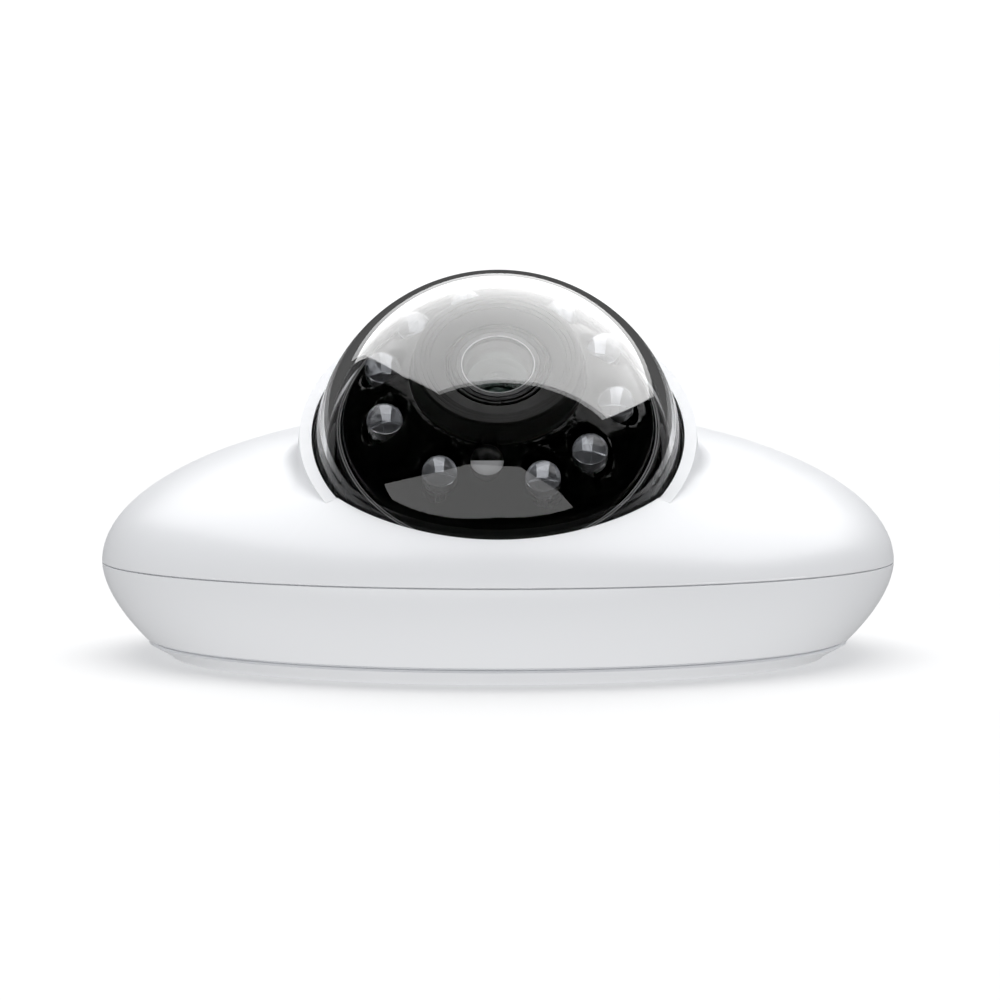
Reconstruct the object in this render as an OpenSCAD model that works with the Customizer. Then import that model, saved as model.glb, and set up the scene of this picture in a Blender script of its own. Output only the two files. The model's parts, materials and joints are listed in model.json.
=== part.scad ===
// Compact infrared dome camera: a pebble-shaped body, a clear dome near its front edge
// and a three-axis eyeball inside. Origin: centre of the mounting face, +Z away from the wall,
// the dome towards -Y.

/* [Body] */
// Largest radius of the body, at the seam between the shells
body_r = 60; // [55:1:72]
// Height of the seam above the mounting face
seam_z = 14.3; // [13:0.1:17]
// Rise of the domed upper shell above the seam
crown_h = 23.2; // [20:0.2:28]
// How far the lower shell tapers in towards the mounting plate
taper = 6.6; // [5:0.1:8]
// Wall of both shells
wall = 2.2; // [1.8:0.1:2.8]
// Open line between the two shells
seam_gap = 0.35; // [0.2:0.05:0.6]

/* [Dome] */
// Outer radius of the clear dome
dome_r = 26.4; // [26:0.1:29]
// Wall of the clear dome
dome_wall = 1.8; // [1.4:0.1:2.0]
// Body edge beyond the front of the dome
dome_inset = 0.7; // [0:0.1:4]
// Height of the dome's centre above the seam
dome_lift = 17.1; // [16.5:0.1:20]
// Elevation of the dome's and the hood's axis, in degrees
hood_tilt = 50.5; // [46:0.5:56]
// Hood lip in front of the dome's centre, along that axis
hood_reach = 4.4; // [2:0.1:6]
// Wall of the hood
hood_wall = 1.7; // [1.4:0.1:2.4]
// Open gap between dome and hood
hood_gap = 0.5; // [0.3:0.05:0.8]

/* [Eyeball] */
// Gap between the eyeball and the inside of the dome
ball_gap = 0.5; // [0.4:0.05:0.8]
// Elevation of the lens axis at rest, in degrees
lens_tilt = 40; // [30:1:60]
// Turn of the face about the lens axis at rest, in degrees
face_roll = -6; // [-20:0.5:20]
// Radius of the ring that the infrared emitters stand on
led_ring_r = 16.2; // [16:0.1:16.4]
// Diameter of one infrared emitter
led_d = 4.8; // [4:0.1:5]
// Emitters on each side of the light sensor
led_side_count = 5; // [3:1:5]
// Radius of the recess around an emitter
led_recess_r = 3.2; // [3:0.1:3.3]

/* [Lens] */
// Radius of the lens thread
lens_thread_r = 6; // [5:0.1:6.4]
// Radius of the lens head
lens_head_r = 7; // [6.8:0.1:7.4]
// Radius of the front glass
lens_glass_r = 4.9; // [4:0.1:5.2]

/* [Mounting] */
// Thickness of the mounting plate
plate_t = 2.3; // [2:0.1:3]
// Gap between mounting plate and lower shell
plate_gap = 0.4; // [0.3:0.05:0.8]
// Spacing of the two slotted screw holes
slot_spacing = 83.3; // [80:0.1:85]
// Length of each slotted screw hole
slot_len = 9; // [6:0.5:12]
// Spacing of the two round screw holes
hole_spacing = 60; // [58:0.5:64]
// Radius of every mounting screw hole
screw_hole_r = 2.2; // [1.8:0.1:2.6]
// Radius of the cable passage
passage_r = 13; // [12.5:0.1:14]
// Turn between locked and released, in degrees
twist = 18; // [12:1:22]

/* [Hidden] */
$fn = 96;
big = 400;
hair = 0.05;

// Dome and hood, in the dome's own frame
dome_y = -(body_r - dome_inset - dome_r);
dome_z = seam_z + dome_lift;
hole_r = dome_r + hood_gap;
hood_r = hole_r + hood_wall;
dome_in_r = dome_r - dome_wall;
ball_r = dome_in_r - ball_gap;
rim_back = 3;
collar_back = rim_back - 0.3;
seal_t = 0.7;
clamp_t = 2;
clamp_skirt = 1.5;
clamp_r = dome_in_r + 0.15;
ear_r = 2.6;
ear_at = hood_r + 1.3;
clamp_angles = [-22, -60, -120, -158];
clamp_head_r = 1.9;

// Shells
shell_bottom = plate_t + plate_gap;
floor_t = 2;
floor_top = shell_bottom + floor_t;
tongue_t = 0.9;
tongue_h = 1.6;
tongue_gap = 0.15;
seal_out_r = body_r - wall - tongue_t - tongue_gap;
seal_in_r = seal_out_r - 1.2;
plate_top_r = body_r - taper - 0.4;
plate_bottom_r = plate_top_r - 3;
boss_r = 3.6;
boss_edge = 12.5;
boss_angles = [34, 146, 45 + 180, 315];
m3_r = 1.5;
m2_r = 1;
boss_at = body_r - boss_edge;

// Cable and mounting
passage_y = 10;
jack = [16.4, 13.6, 16];
jack_port = [11.7, 6.8, 12.4];
jack_gap = 0.4;
jack_bottom = shell_bottom + 0.5;
hook_r = 38;
hook_t = 2.2;
hook_lip = 1.8;
hook_arc = 9;
hook_clear = 0.35;
hook_angles = [90, 210, 330];
reset_x = jack[0] / 2 + 2.7;
reset_r = 1.5;
reset_travel = 0.8;

// Boards
board_t = 1.6;
board_z = jack_bottom + jack[2];
board_r = body_r - 17;
board_front = -5;
standoff_r = 3;
standoff_at = board_r - 4.5;
standoff_angles = [18, 110, 162];

// Turret
base_h = 2.4;
base_r = 15;
base_top = floor_top + base_h;
pan_disc_t = 1.6;
pan_disc_r = 13;
washer_t = 0.3;
post_r = 3.5;
run = 0.05;
post_top = base_top + washer_t + 2 * hair + pan_disc_t + hair;
foot_angles = [30, 150, 270];
foot_at = 11.5;

// Yoke and tilt ring
pivot_r = 2;
yoke_in_r = ball_r - 1.05;
ring_r = ball_r - 1.6;
ring_bore = ring_r - 0.72;
eye_r = ring_bore - 0.08;
ring_front = 7.9;
ring_back = -3;
pad_x = ring_r + 0.25;
ear_x = pad_x + 0.2;
yoke_half = 4;
yoke_pitch = 45;

// Eyeball, along the lens axis
face_rim_z = 8.3;
face_hub_z = 17.8;
shield_r = 12.1;
face_sphere_z = (pow(shield_r, 2) + pow(face_hub_z, 2) - pow(eye_r, 2) - pow(face_rim_z, 2))
    / (2 * (face_hub_z - face_rim_z));
face_sphere_r = norm([eye_r, face_rim_z - face_sphere_z]);
face_t = 1.7;
face_skirt = 1.2;
split_z = -1;
eye_back = -11;
eye_back_r = 14.5;
led_tip = 16.7;
led_len = 8.8;
led_flange_t = 1;
led_flange_w = 0.4;
led_pcb_t = 1.2;
led_pcb_z = 4.2;
led_floor = 10.6;
// Each side's lamps, in degrees from the bottom of the face
led_left = [23, 65, 97, 128, 158];
led_right = [28, 56, 88, 122, 153];
sensor_at = 13.9;
sensor_r = 2.2;
sensor_rise = 2.1;
shield_front = 21.2;
shield_step = 0.6;
lens_front = 20.1;
barrel_back = 3.6;
thread_top = 12;
holder_r = 8.4;
holder_base = [20, 16];
holder_back = -3.4;
face_screw_at = 18.7;
sensor_pcb = 23;
sensor_pcb_t = 1.2;

module at_dome() {
    translate([0, dome_y, dome_z]) children();
}

// Turns +Z to an axis at this elevation that leans towards -Y
module lean(elevation) {
    rotate([90 - elevation, 0, 0]) children();
}

module on_hood() {
    at_dome() lean(hood_tilt) children();
}

module on_lens() {
    at_dome() lean(lens_tilt) rotate([0, 0, face_roll]) children();
}

module tube(r, bore, h) {
    difference() {
        cylinder(r = r, h = h);
        translate([0, 0, -1]) cylinder(r = bore, h = h + 2);
    }
}

module slab(low, high) {
    translate([-big / 2, -big / 2, low]) cube([big, big, high - low]);
}

// Half outline of the domed crown, as points from the seam to the axis
function crown(r, h) = [for (a = [0:5:90]) [r * cos(a), seam_z + h * sin(a)]];

module crown_solid(inset) {
    rotate_extrude($fn = 180)
        polygon(concat([[0, shell_bottom - 1], [body_r - inset, shell_bottom - 1]],
            crown(body_r - inset, crown_h - inset)));
}

function side_r(z) = body_r - taper * pow((seam_z - z) / (seam_z - shell_bottom), 1.75);

// Outline of the lower shell's tapered side, from its foot to the seam
function side(inset, from) = [for (i = [0:8]) let(z = from + (seam_z - from) * i / 8)
    [side_r(z) - inset, z]];

module mount_hook() {
    rotate_extrude(angle = hook_arc)
        polygon([[hook_r, plate_t - 0.5], [hook_r + hook_t, plate_t - 0.5],
            [hook_r + hook_t, floor_top + hook_clear],
            [hook_r + hook_t + hook_lip, floor_top + hook_clear],
            [hook_r + hook_t + hook_lip, floor_top + hook_clear + 1.1],
            [hook_r, floor_top + hook_clear + 1.1]]);
}

module mount_plate() {
    color("gainsboro") {
        difference() {
            rotate_extrude($fn = 180)
                polygon([[0, 0], [plate_bottom_r - 0.4, 0], [plate_bottom_r, 0.4],
                    [plate_top_r, plate_t - 0.3], [plate_top_r - 0.3, plate_t], [0, plate_t]]);
            translate([0, passage_y, -1]) cylinder(r = passage_r, h = plate_t + 2);
            for (s = [-1, 1]) {
                translate([s * slot_spacing / 2, 0, -1]) linear_extrude(plate_t + 2) {
                    square([slot_len - 2 * screw_hole_r, 2 * screw_hole_r], center = true);
                    for (e = [-1, 1]) translate([e * (slot_len / 2 - screw_hole_r), 0])
                        circle(r = screw_hole_r);
                }
                translate([0, s * hole_spacing / 2, -1]) cylinder(r = screw_hole_r, h = plate_t + 2);
            }
        }
        for (a = hook_angles) rotate([0, 0, a - hook_arc / 2]) mount_hook();
    }
}

module hook_slot(lip, from, to) {
    rotate([0, 0, from]) rotate_extrude(angle = to - from)
        translate([hook_r - hook_clear, shell_bottom - 1])
            square([hook_t + lip + 2 * hook_clear, floor_t + 2]);
}

module boss_places() {
    for (a = boss_angles) rotate([0, 0, a]) translate([boss_at, 0, 0]) children();
}

module standoff_places() {
    for (a = standoff_angles) rotate([0, 0, a]) translate([standoff_at, 0, 0]) children();
}

module foot_places() {
    translate([0, dome_y, 0]) for (a = foot_angles) rotate([0, 0, a]) translate([foot_at, 0, 0])
        children();
}

module lower_shell() {
    color("white") difference() {
        union() {
            rotate_extrude($fn = 180) polygon(concat(
                [[0, shell_bottom]], side(0, shell_bottom),
                [[body_r, seam_z - seam_gap / 2], [body_r - wall, seam_z - seam_gap / 2],
                    [body_r - wall, seam_z + tongue_h], [body_r - wall - tongue_t, seam_z + tongue_h],
                    [body_r - wall - tongue_t, seam_z - 2]],
                [for (i = [8:-1:0]) let(z = floor_top + (seam_z - 3 - floor_top) * i / 8)
                    [side_r(z) - wall - 0.2, z]],
                [[0, floor_top]]));
            boss_places() cylinder(r = boss_r, h = seam_z - seam_gap);
            standoff_places() cylinder(r = standoff_r, h = board_z);
        }
        slab(-10, shell_bottom);
        boss_places() {
            cylinder(r = m3_r + 0.1, h = big);
            cylinder(r = 3, h = floor_top + 1.4);
        }
        standoff_places() translate([0, 0, board_z - 8]) cylinder(r = m2_r, h = 9);
        foot_places() translate([0, 0, floor_top - 1]) cylinder(r = m2_r, h = 9);
        translate([-jack[0] / 2 - jack_gap, passage_y - jack[1] / 2 - jack_gap, 0])
            cube([jack[0] + 2 * jack_gap, jack[1] + 2 * jack_gap, floor_top + 1]);
        translate([reset_x, passage_y, 0]) cylinder(r = reset_r + run, h = floor_top + 1);
        for (a = hook_angles) rotate([0, 0, a]) {
            hook_slot(0, -hook_arc / 2 - twist - 1, hook_arc / 2 + 1);
            hook_slot(hook_lip, -hook_arc / 2 - twist - 1, -twist + hook_arc / 2 + 1);
        }
    }
}

module hood_shell(back) {
    on_hood() difference() {
        sphere(r = hood_r, $fn = 180);
        sphere(r = hole_r, $fn = 180);
        slab(hood_reach, big);
        slab(-big, -back);
    }
}

module clamp_places() {
    on_hood() for (a = clamp_angles) rotate([0, 0, a]) translate([ear_at, 0, 0]) children();
}

module upper_shell() {
    color("white") difference() {
        union() {
            difference() {
                crown_solid(0);
                crown_solid(wall);
                at_dome() sphere(r = hole_r, $fn = 180);
            }
            difference() {
                hood_shell(hood_r + 1);
                crown_solid(wall);
            }
            hood_shell(collar_back);
            intersection() {
                crown_solid(0.5);
                clamp_places() translate([0, 0, -collar_back]) cylinder(r = ear_r, h = 6);
            }
            difference() {
                intersection() {
                    crown_solid(0.5);
                    boss_places() translate([0, 0, seam_z + seam_gap]) cylinder(r = boss_r, h = big);
                }
                at_dome() sphere(r = hood_r + 0.5);
            }
        }
        slab(-big, seam_z + seam_gap / 2);
        // Room for the lower shell's tongue and for the seal inside it
        translate([0, 0, seam_z]) tube(body_r - wall + tongue_gap, seal_in_r - tongue_gap,
            tongue_h + seam_gap);
        boss_places() cylinder(r = m3_r - 0.1, h = seam_z + 7);
        clamp_places() translate([0, 0, -collar_back - 1]) cylinder(r = m2_r, h = 5);
        // Groove for the dome's seal
        on_hood() translate([0, 0, -collar_back + 0.8])
            tube(sqrt(pow(hole_r, 2) - 1) + seal_t, dome_in_r, 1.6);
    }
}

module dome_bubble() {
    color("lightcyan", 0.35) on_hood() difference() {
        sphere(r = dome_r, $fn = 180);
        sphere(r = dome_in_r, $fn = 180);
        slab(-big, -rim_back);
    }
}

module bubble_seal() {
    color("black") on_hood() difference() {
        translate([0, 0, -collar_back + 0.85]) cylinder(r = sqrt(pow(hole_r, 2) - 1) + seal_t - hair,
            h = 1.5);
        sphere(r = dome_r + 0.02);
    }
}

module bubble_clamp() {
    color("black") difference() {
        union() {
            on_hood() intersection() {
                translate([0, 0, -rim_back - clamp_t - clamp_skirt])
                    cylinder(r = hood_r, h = clamp_t + clamp_skirt - hair);
                sphere(r = hole_r - hair, $fn = 180);
            }
            on_hood() for (a = clamp_angles) rotate([0, 0, a])
                translate([clamp_r + 0.3, -ear_r, -rim_back - clamp_t])
                    cube([ear_at - clamp_r - 0.3, 2 * ear_r, clamp_t - hair]);
            clamp_places() translate([0, 0, -rim_back - clamp_t])
                cylinder(r = ear_r, h = clamp_t - hair);
        }
        on_hood() translate([0, 0, -20]) cylinder(r = clamp_r, h = 30);
        clamp_places() translate([0, 0, -10]) cylinder(r = m2_r + 0.1, h = 20);
    }
}

module clamp_screws() {
    color("silver") clamp_places() {
        translate([0, 0, -rim_back - clamp_t - 1.3]) cylinder(r = clamp_head_r, h = 1.3);
        translate([0, 0, -rim_back - clamp_t]) cylinder(r = m2_r - hair, h = 5);
    }
}

module shell_seal() {
    color("dimgray") difference() {
        translate([0, 0, seam_z + seam_gap]) tube(seal_out_r, seal_in_r, 1.2);
        // Keeps clear of the front clamp screws where the wall is thick
        clamp_places() translate([0, 0, -rim_back - clamp_t - 1.6]) cylinder(r = clamp_head_r + 0.2, h = 2);
    }
}

module shell_screws() {
    color("silver") boss_places() {
        translate([0, 0, shell_bottom + 0.4]) cylinder(r = 2.8, h = floor_top + 0.9 - shell_bottom);
        translate([0, 0, floor_top + 1.2]) cylinder(r = m3_r - 0.15, h = seam_z + 5 - floor_top);
    }
}

module turret_base() {
    color("black") difference() {
        union() {
            translate([0, dome_y, floor_top]) {
                cylinder(r = base_r, h = base_h);
                cylinder(r = post_r, h = post_top - floor_top);
            }
        }
        foot_places() {
            translate([0, 0, floor_top - 1]) cylinder(r = m2_r + 0.1, h = base_h + 2);
            translate([0, 0, base_top - 1.4]) cylinder(r = 2.1, h = 3);
        }
        translate([0, dome_y, floor_top + 1]) cylinder(r = m2_r, h = 20);
    }
}

module turret_screws() {
    color("silver") foot_places() {
        translate([0, 0, base_top - 1.4]) cylinder(r = 1.9, h = 1.2);
        translate([0, 0, floor_top - 0.9]) cylinder(r = m2_r - hair, h = base_h);
    }
}

module pan_screw() {
    color("silver") translate([0, dome_y, 0]) {
        translate([0, 0, post_top]) cylinder(r = 5, h = 0.6);
        translate([0, 0, post_top + 0.6]) cylinder(r = 2.4, h = 1);
        translate([0, 0, floor_top + 1.5]) cylinder(r = m2_r - hair, h = post_top - floor_top);
    }
}

module pan_washer() {
    color("ivory") translate([0, dome_y, base_top]) tube(8, post_r + run, washer_t);
}

module main_board() {
    color("darkgreen") difference() {
        intersection() {
            translate([0, 0, board_z]) cylinder(r = board_r, h = board_t);
            translate([-big / 2, board_front, 0]) cube([big, big, big]);
        }
        standoff_places() cylinder(r = m2_r + 0.15, h = big);
    }
}

module board_screws() {
    color("silver") standoff_places() {
        translate([0, 0, board_z + board_t]) cylinder(r = 1.9, h = 1.2);
        translate([0, 0, board_z - 5]) cylinder(r = m2_r - hair, h = 5.1 + board_t);
    }
}

module ethernet_jack() {
    color("silver") translate([0, passage_y, jack_bottom]) difference() {
        translate([-jack[0] / 2, -jack[1] / 2, 0]) cube(jack);
        translate([-jack_port[0] / 2, -jack_port[1] / 2, -1])
            cube([jack_port[0], jack_port[1], jack_port[2] + 1]);
        // Latch notch of the plug
        translate([-3, jack_port[1] / 2 - 1, -1]) cube([6, 2.6, jack_port[2] + 1]);
    }
}

module jack_contacts() {
    color("gold") for (i = [0:7])
        translate([(i - 3.5) * 1.02 - 0.2, passage_y - jack_port[1] / 2, jack_bottom + 5])
            cube([0.4, 0.5, jack_port[2] - 5]);
}

module chip(x, y, w, d, h) {
    translate([x - w / 2, y - d / 2, board_z + board_t]) cube([w, d, h]);
}

module processor() {
    color("dimgray") chip(0, 12, 14, 14, 1.3);
}

module heat_sink() {
    color("lightgray") translate([0, 12, board_z + board_t + 1.3]) {
        translate([-9, -8, 0]) cube([18, 16, 1]);
        for (i = [0:6]) translate([-9 + i * 2.83, -8, 0.9]) cube([1, 16, 2.1]);
    }
}

module memory_chips() {
    color("dimgray") {
        chip(-17, 12, 9, 12, 1.1);
        chip(17, 12, 9, 12, 1.1);
    }
}

module power_transformer() {
    color("dimgray") translate([-jack[0] / 2 - 15, passage_y - 2, board_z - 9]) cube([13, 12, 9]);
}

module power_capacitors() {
    color("slateblue") for (x = [18, 26]) translate([x, 15, board_z - 9.5])
        cylinder(r = 3.15, h = 9.5, $fn = 48);
}

module board_connector() {
    color("ivory") chip(0, -1.5, 16, 4, 2.4);
}

module reset_switch() {
    color("silver") translate([reset_x - 2.4, passage_y - 2.4, board_z - 3.6])
        cube([4.8, 4.8, 3.6]);
}

module reset_plunger() {
    color("gray") translate([reset_x, passage_y, 0]) {
        translate([0, 0, shell_bottom + 0.3]) cylinder(r = reset_r, h = board_z - 4.6 - shell_bottom - 0.3);
        translate([0, 0, floor_top + 1]) cylinder(r = 2.3, h = 0.8);
    }
}

module plunger_spring() {
    color("silver") translate([reset_x, passage_y, floor_top + 1.8]) tube(2.1, reset_r + 0.1,
        board_z - 3.6 - floor_top - 1.8);
}

module pan_yoke() {
    color("dimgray") difference() {
        union() {
            at_dome() {
                intersection() {
                    sphere(r = ball_r, $fn = 180);
                    union() {
                        for (s = [-1, 1]) rotate([0, s * 90, 0]) translate([0, 0, ear_x])
                            cylinder(r = yoke_half + 0.6, h = 5);
                        difference() {
                            rotate([-yoke_pitch, 0, 0]) translate([-big / 2, 0, -yoke_half])
                                cube([big, big / 2, 2 * yoke_half]);
                            sphere(r = yoke_in_r, $fn = 180);
                        }
                    }
                }
            }
            difference() {
                translate([-5, dome_y + 8, base_top + washer_t + 2 * hair])
                    cube([10, 10, dome_z - 13 - base_top - washer_t]);
                at_dome() sphere(r = yoke_in_r, $fn = 180);
            }
            translate([0, dome_y, base_top + washer_t + hair]) cylinder(r = pan_disc_r, h = pan_disc_t);
        }
        translate([0, dome_y, 0]) cylinder(r = post_r + run, h = 16);
        at_dome() rotate([0, 90, 0]) translate([0, 0, -big / 2]) cylinder(r = pivot_r + run, h = big);
        // Flat inner faces beside the ring's pads
        at_dome() rotate([0, 90, 0]) translate([0, 0, -ear_x]) cylinder(r = 4.4, h = 2 * ear_x);
    }
}

module tilt_ring() {
    color("black") difference() {
        union() {
            at_dome() lean(lens_tilt) translate([0, 0, ring_back]) cylinder(r = ring_r,
                h = ring_front - ring_back - 0.3);
            at_dome() lean(lens_tilt) translate([0, 0, ring_front - 0.31])
                cylinder(r1 = ring_r, r2 = ring_r - 0.3, h = 0.31);
            at_dome() rotate([0, 90, 0]) translate([0, 0, -pad_x]) cylinder(r = 3.4, h = 2 * pad_x);
        }
        at_dome() lean(lens_tilt) translate([0, 0, -20]) cylinder(r = ring_bore, h = 40);
        at_dome() rotate([0, 90, 0]) translate([0, 0, -big / 2]) cylinder(r = pivot_r, h = big);
    }
}

module tilt_pivots() {
    color("silver") at_dome() difference() {
        rotate([0, 90, 0]) translate([0, 0, 0.3 - ball_r]) cylinder(r = pivot_r, h = 2 * ball_r - 0.6);
        lean(lens_tilt) translate([0, 0, -20]) cylinder(r = ring_bore + hair, h = 40);
    }
}

function flange_top(tip) = tip - led_len + led_flange_t;

function led_angles() = [for (i = [0:led_side_count - 1], a = [-led_left[i], led_right[i]]) 270 + a];

module led_places() {
    for (a = led_angles()) rotate([0, 0, a]) translate([led_ring_r, 0, 0]) children();
}

module face_screw_places() {
    for (s = [-1, 1]) translate([0, s * face_screw_at, 0]) children();
}

module face_outer(shrink) {
    rotate_extrude() intersection() {
        translate([0, face_sphere_z]) circle(r = face_sphere_r - shrink, $fn = 180);
        translate([0, split_z]) square([eye_r, 40]);
    }
}

module eye_face() {
    color("black") on_lens() difference() {
        union() {
            difference() {
                face_outer(0);
                intersection() {
                    face_outer(face_t);
                    translate([0, 0, split_z - 1]) cylinder(r = eye_r - face_skirt, h = 40);
                }
                translate([0, 0, split_z - 1]) cylinder(r = eye_r - face_skirt, h = 4);
            }
            intersection() {
                face_outer(0);
                union() {
                    led_places() translate([0, 0, flange_top(led_tip) + 0.1])
                        cylinder(r = led_recess_r + 0.8, h = 20);
                    translate([0, 0, face_hub_z - 5]) cylinder(r = shield_r + 1.2, h = 20);
                    translate([0, -sensor_at, flange_top(led_tip + sensor_rise) + 0.1])
                        cylinder(r = sensor_r + 1, h = 20);
                    face_screw_places() translate([0, 0, split_z]) cylinder(r = 2.1, h = 20);
                }
            }
        }
        translate([0, 0, face_hub_z - 3]) cylinder(r = shield_r + hair, h = 20);
        translate([0, 0, split_z - 1]) cylinder(r = shield_r - 1.4, h = 30);
        led_places() {
            translate([0, 0, led_floor]) cylinder(r = led_recess_r, h = 20);
            cylinder(r = led_d / 2 + 0.1, h = 30);
        }
        translate([0, -sensor_at, 0]) {
            cylinder(r = sensor_r + 0.1, h = 30);
            cylinder(r = sensor_r + led_flange_w + 0.1, h = flange_top(led_tip + sensor_rise) + 0.1);
        }
        face_screw_places() translate([0, 0, split_z - 1]) cylinder(r = m2_r - 0.2, h = 7);
    }
}

module eye_rear_shell() {
    color("black") on_lens() difference() {
        rotate_extrude() polygon([[0, eye_back], [eye_back_r, eye_back], [eye_r, ring_back - 1],
            [eye_r, split_z - hair], [eye_r - face_skirt, split_z - hair],
            [eye_r - face_skirt - 0.4, ring_back - 1], [eye_back_r - 1.4, eye_back + 1.5],
            [0, eye_back + 1.5]]);
        face_screw_places() translate([0, 0, eye_back - 1]) cylinder(r = m2_r + 0.1, h = 20);
        face_screw_places() translate([0, 0, eye_back - 1]) cylinder(r = 2, h = 6.6);
        // Slot for the flat cable
        translate([-7, 4, eye_back - 1]) cube([14, 4.5, 4]);
    }
}

module led_board() {
    color("darkgreen") on_lens() difference() {
        translate([0, 0, led_pcb_z]) cylinder(r = eye_r - face_skirt - 0.3, h = led_pcb_t);
        cylinder(r = holder_r + 1, h = 30);
        face_screw_places() cylinder(r = 2.4, h = 30);
    }
}

// A lamp on its spacer: flange, barrel and round head
module led(r, tip) {
    translate([0, 0, led_pcb_z + led_pcb_t]) cylinder(r = r - 0.6, h = tip - led_len - led_pcb_z, $fn = 64);
    translate([0, 0, tip - led_len]) {
        cylinder(r = r, h = led_len - r, $fn = 64);
        cylinder(r = r + led_flange_w, h = led_flange_t, $fn = 64);
    }
    translate([0, 0, tip - r]) sphere(r = r, $fn = 64);
}

module ir_leds() {
    color("lightcyan", 0.6) on_lens() led_places() led(led_d / 2, led_tip);
}

module light_sensor() {
    color("silver") on_lens() translate([0, -sensor_at, 0]) led(sensor_r, led_tip + sensor_rise);
}

// Rubber shield: outline from its seat, over the front edge, three fine steps and a dish down to the lens
module light_shield() {
    color("black") on_lens() difference() {
        rotate_extrude() polygon(concat(
            [[shield_r, face_hub_z - 3 + hair], [shield_r, face_hub_z + 0.3],
                [shield_r - 0.3, face_hub_z + 0.6], [shield_r - 0.8, shield_front - 0.3],
                [shield_r - 1.1, shield_front]],
            [for (i = [1:3], e = [0, 1])
                [shield_r - 1.1 - shield_step * i, shield_front - 0.15 * (i - 1 + e)]],
            [[lens_head_r + 0.15, lens_front], [lens_head_r + 0.15, face_hub_z - 3 + hair]]));
        // Notch that the light sensor stands in
        translate([0, -sensor_at, 0]) cylinder(r = sensor_r + 0.15, h = 40);
    }
}

module lens_holder() {
    color("dimgray") on_lens() difference() {
        union() {
            translate([-holder_base[0] / 2, -holder_base[1] / 2, holder_back])
                cube([holder_base[0], holder_base[1], 6.8]);
            translate([0, 0, 3]) cylinder(r = holder_r, h = 7.8);
        }
        translate([0, 0, -1]) cylinder(r = lens_thread_r + run, h = 20);
        translate([1 - holder_base[0] / 2, -4, holder_back - 1]) cube([holder_base[0] - 2, 8, 6.2]);
    }
}

module sensor_board() {
    color("darkgreen") on_lens() translate([-sensor_pcb / 2, -sensor_pcb / 2, holder_back - sensor_pcb_t])
        cube([sensor_pcb, sensor_pcb, sensor_pcb_t]);
}

module image_sensor() {
    color("slategray") on_lens() translate([-3.6, -3.2, holder_back]) cube([7.2, 6.4, 1.1]);
}

module filter_coil() {
    color("darkorange") on_lens() translate([-4, holder_base[1] / 2 + 2.1, 0]) rotate([0, 90, 0])
        cylinder(r = 2, h = 8, $fn = 48);
}

module ir_filter() {
    color("lightpink", 0.6) on_lens() translate([0.6 - holder_base[0] / 2 + 0.7, -3.4, -0.6])
        cube([11.6, 6.8, 0.6]);
}

module face_screws() {
    color("silver") on_lens() face_screw_places() {
        translate([0, 0, eye_back + 4.4]) cylinder(r = 1.8, h = 1.2);
        translate([0, 0, eye_back + 5.5]) cylinder(r = m2_r - 0.25, h = 8);
    }
}

module lens_barrel() {
    color("black") on_lens() rotate_extrude() polygon([
        [lens_thread_r - 1.8, barrel_back], [lens_thread_r, barrel_back], [lens_thread_r, thread_top],
        [lens_head_r, thread_top], [lens_head_r, lens_front - 0.2], [lens_head_r - 0.2, lens_front],
        [lens_glass_r + 0.8, lens_front], [lens_glass_r + 0.8, lens_front - 1.2],
        [lens_glass_r, lens_front - 1.2], [lens_glass_r, lens_front - 2.6],
        [lens_thread_r - 1.8, lens_front - 2.6]]);
}

module lens_retainer() {
    color("silver") on_lens() rotate_extrude() polygon([
        [lens_glass_r + 0.75, lens_front - 1.15], [lens_glass_r + 0.75, lens_front],
        [lens_glass_r + 0.1, lens_front], [lens_glass_r - 0.15, lens_front - 0.12],
        [lens_glass_r - 0.15, lens_front - 0.25], [lens_glass_r, lens_front - 0.33],
        [lens_glass_r, lens_front - 1.15]]);
}

module front_lens() {
    color("darkseagreen") on_lens() intersection() {
        translate([0, 0, lens_front - 11.56]) sphere(r = 12.2, $fn = 120);
        translate([0, 0, lens_front - 2.6]) cylinder(r = lens_glass_r - hair, h = 4);
    }
}

module rear_lens() {
    color("darkseagreen") on_lens() translate([0, 0, barrel_back + 0.4])
        cylinder(r = lens_thread_r - 1.85, h = 1.8);
}

module lens_lock_ring() {
    color("silver") on_lens() translate([0, 0, 10.85]) tube(holder_r - 0.2, lens_thread_r + run, 1.1);
}

mount_plate();
lower_shell();
upper_shell();
dome_bubble();
bubble_seal();
bubble_clamp();
clamp_screws();
shell_seal();
shell_screws();
turret_base();
turret_screws();
pan_screw();
pan_washer();
main_board();
board_screws();
ethernet_jack();
jack_contacts();
processor();
heat_sink();
memory_chips();
power_transformer();
power_capacitors();
board_connector();
reset_switch();
reset_plunger();
plunger_spring();
pan_yoke();
tilt_ring();
tilt_pivots();
eye_face();
eye_rear_shell();
led_board();
ir_leds();
light_sensor();
light_shield();
lens_holder();
sensor_board();
image_sensor();
filter_coil();
ir_filter();
face_screws();
lens_barrel();
lens_retainer();
front_lens();
rear_lens();
lens_lock_ring();
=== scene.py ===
"""Compact infrared dome camera: looks, floor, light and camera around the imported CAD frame."""
import json
import math

import bmesh
import bpy
import numpy as np
from mathutils import Matrix, Vector


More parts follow.
